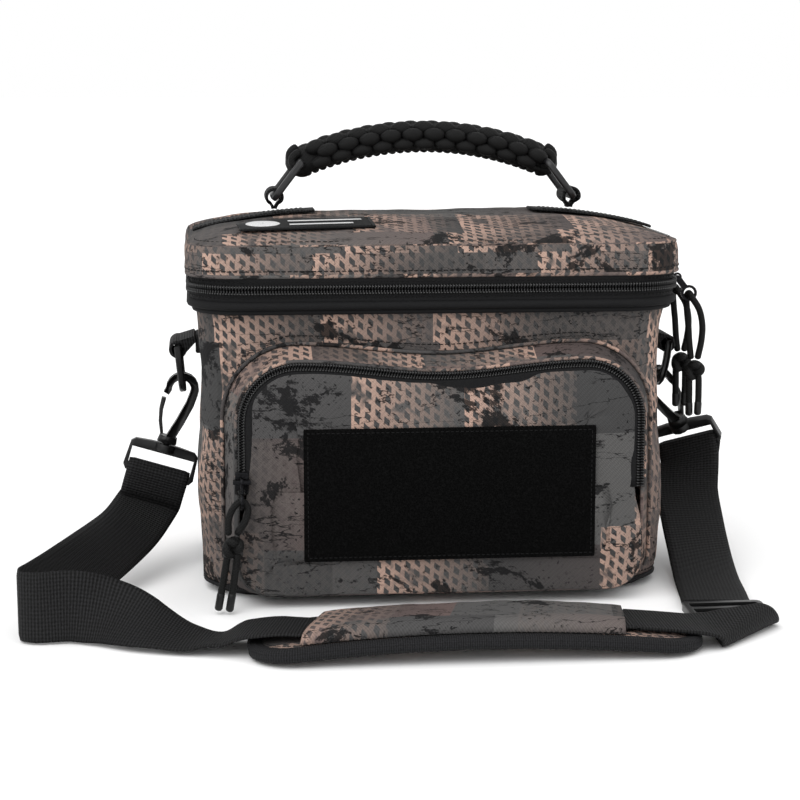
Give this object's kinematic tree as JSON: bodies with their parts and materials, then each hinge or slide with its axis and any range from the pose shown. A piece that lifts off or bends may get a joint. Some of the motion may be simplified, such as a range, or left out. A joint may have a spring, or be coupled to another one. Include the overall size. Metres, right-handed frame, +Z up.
{
  "type": "soft battery bag",
  "caption": "Soft box bag with a zipped fire-lined compartment, front pocket, wrapped carry handle and a padded strap on snap hooks.",
  "frame": {"origin": "centre of the underside of the bag body, on the floor", "axes": "+Z up, -Y towards the front pocket, +X towards the side with the main zip pulls"},
  "size_m": [0.4278, 0.3269, 0.2719],
  "materials": {
    "camo_polyester": "printed 600D polyester with a fine twill, matt",
    "black_fabric": "black woven polyester binding and edge tape, matt",
    "zip_tape": "black woven zip tape, matt",
    "zip_coil": "black nylon coil, slightly glossy",
    "webbing": "black ribbed polypropylene webbing, matt",
    "paracord": "black braided nylon cord, matt",
    "grey_plastic": "dark grey moulded acetal, satin",
    "dark_metal": "dark plated zinc, satin",
    "foam": "grey closed-cell foam",
    "stiff_board": "black stiff plastic board",
    "fire_cloth": "silver coated woven glass-fibre cloth, slightly glossy",
    "pad_foam_cover": "black spacer mesh over foam",
    "patch": "plain black soft patch, matt",
    "label": "plain black soft label, matt"
  },
  "bodies": {
    "bag": {"base_panel": "black_fabric", "outer_shell": "camo_polyester", "base_board": "stiff_board", "foam_walls": "foam", "foam_base": "foam", "fire_lining": "fire_cloth", "rim_binding": "black_fabric", "main_zip_lower_tape": "zip_tape", "main_zip_lower_coil": "zip_coil", "hinge_strip_lower": "black_fabric", "pocket_gusset": "camo_polyester", "pocket_zip_outer_tape": "zip_tape", "pocket_zip_outer_coil": "zip_coil", "side_tab_left": "webbing", "side_tab_right": "webbing", "strap_frame_left": "grey_plastic", "strap_frame_right": "grey_plastic", "shoulder_strap": "webbing", "strap_return": "webbing"},
    "lid": {"lid_shell": "camo_polyester", "lid_foam": "foam", "lid_lining": "fire_cloth", "main_zip_upper_tape": "zip_tape", "main_zip_upper_coil": "zip_coil", "hinge_strip_upper": "black_fabric", "handle_strip_left": "webbing", "handle_strip_right": "webbing", "name_label": "label"},
    "handle": {"handle_grip": "paracord", "handle_ring_left": "grey_plastic", "handle_ring_right": "grey_plastic", "handle_loop_left": "webbing", "handle_loop_right": "webbing"},
    "left_d_ring": {"d_ring_left": "grey_plastic"},
    "right_d_ring": {"d_ring_right": "grey_plastic"},
    "left_hook": {"hook_left": "grey_plastic"},
    "right_hook": {"hook_right": "grey_plastic"},
    "left_gate": {"hook_gate_left": "grey_plastic"},
    "right_gate": {"hook_gate_right": "grey_plastic"},
    "front_slider": {"zip_slider_front": "dark_metal"},
    "rear_slider": {"zip_slider_rear": "dark_metal"},
    "front_pull": {"zip_puller_front": "dark_metal", "pull_cord_front": "paracord", "pull_knot_front": "paracord"},
    "rear_pull": {"zip_puller_rear": "dark_metal", "pull_cord_rear": "paracord", "pull_knot_rear": "paracord"},
    "pocket_flap": {"pocket_panel": "camo_polyester", "pocket_zip_inner_tape": "zip_tape", "pocket_zip_inner_coil": "zip_coil", "patch_panel": "patch"},
    "pocket_zip_slider": {"pocket_slider": "dark_metal"},
    "pocket_pull": {"pocket_puller": "dark_metal", "pull_cord_pocket": "paracord", "pull_knot_pocket": "paracord"},
    "pad": {"pad_cushion": "pad_foam_cover", "pad_binding": "black_fabric", "pad_sleeve": "camo_polyester"},
    "adjuster": {"strap_adjuster": "grey_plastic"}
  },
  "joints": [
    {"name": "lid_hinge", "type": "hinge", "parent": "bag", "child": "lid", "pos_m": [0, 0.0905, 0.1801], "axis": [-1, 0, 0], "range_deg": [0, 110]},
    {"name": "handle_swing", "type": "hinge", "parent": "lid", "child": "handle", "pos_m": [0, 0, 0.2215], "axis": [1, 0, 0], "range_deg": [-24, 24]},
    {"name": "d_ring_left_swing", "type": "hinge", "parent": "bag", "child": "left_d_ring", "pos_m": [-0.149, 0, 0.137], "axis": [0, 1, 0], "range_deg": [-3, 5]},
    {"name": "d_ring_right_swing", "type": "hinge", "parent": "bag", "child": "right_d_ring", "pos_m": [0.149, 0, 0.137], "axis": [0, -1, 0], "range_deg": [0, 5]},
    {"name": "hook_left_swivel", "type": "hinge", "parent": "bag", "child": "left_hook", "pos_m": [-0.1465, 0, 0.1124], "axis": [-0.2873, 0, -0.9578], "range_deg": [-5, 8]},
    {"name": "hook_right_swivel", "type": "hinge", "parent": "bag", "child": "right_hook", "pos_m": [0.1465, 0, 0.1124], "axis": [0.4796, 0.3545, -0.8027], "range_deg": [-5, 8]},
    {"name": "hook_left_gate", "type": "hinge", "parent": "left_hook", "child": "left_gate", "pos_m": [-0.16048, 0, 0.09154], "axis": [0, 1, 0], "range_deg": [0, 18], "stiffness_Nm_per_rad": 0.02, "springref_deg": -5.73},
    {"name": "hook_right_gate", "type": "hinge", "parent": "right_hook", "child": "right_gate", "pos_m": [0.16436, 0.00851, 0.09693], "axis": [0.1818, -0.9351, -0.3043], "range_deg": [0, 18], "stiffness_Nm_per_rad": 0.02, "springref_deg": -5.73},
    {"name": "main_zip_front_slide", "type": "slide", "parent": "bag", "child": "front_slider", "axis": [0, 1, 0], "range_m": [-0.014, 0.008]},
    {"name": "main_zip_rear_slide", "type": "slide", "parent": "bag", "child": "rear_slider", "axis": [0, 1, 0], "range_m": [-0.006, 0.001]},
    {"name": "main_pull_front_swing", "type": "hinge", "parent": "front_slider", "child": "front_pull", "pos_m": [0.149, -0.042, 0.1801], "axis": [0, -1, 0], "range_deg": [0, 100]},
    {"name": "main_pull_rear_swing", "type": "hinge", "parent": "rear_slider", "child": "rear_pull", "pos_m": [0.149, -0.006, 0.1801], "axis": [0, -1, 0], "range_deg": [0, 100]},
    {"name": "pocket_flap_hinge", "type": "hinge", "parent": "bag", "child": "pocket_flap", "pos_m": [0, -0.1115, 0.0085], "axis": [1, 0, 0], "range_deg": [0, 20]},
    {"name": "pocket_zip_slide", "type": "slide", "parent": "pocket_flap", "child": "pocket_zip_slider", "axis": [0, 0, 1], "range_m": [0, 0.026]},
    {"name": "pocket_pull_swing", "type": "hinge", "parent": "pocket_zip_slider", "child": "pocket_pull", "pos_m": [-0.1137, -0.1189, 0.075], "axis": [-1, 0, 0], "range_deg": [0, 100]},
    {"name": "pad_slide", "type": "slide", "parent": "bag", "child": "pad", "axis": [1, 0, 0], "range_m": [-0.004, 0.004]},
    {"name": "adjuster_slide", "type": "slide", "parent": "bag", "child": "adjuster", "axis": [0, 1, 0], "range_m": [0, 0.003]}
  ]
}
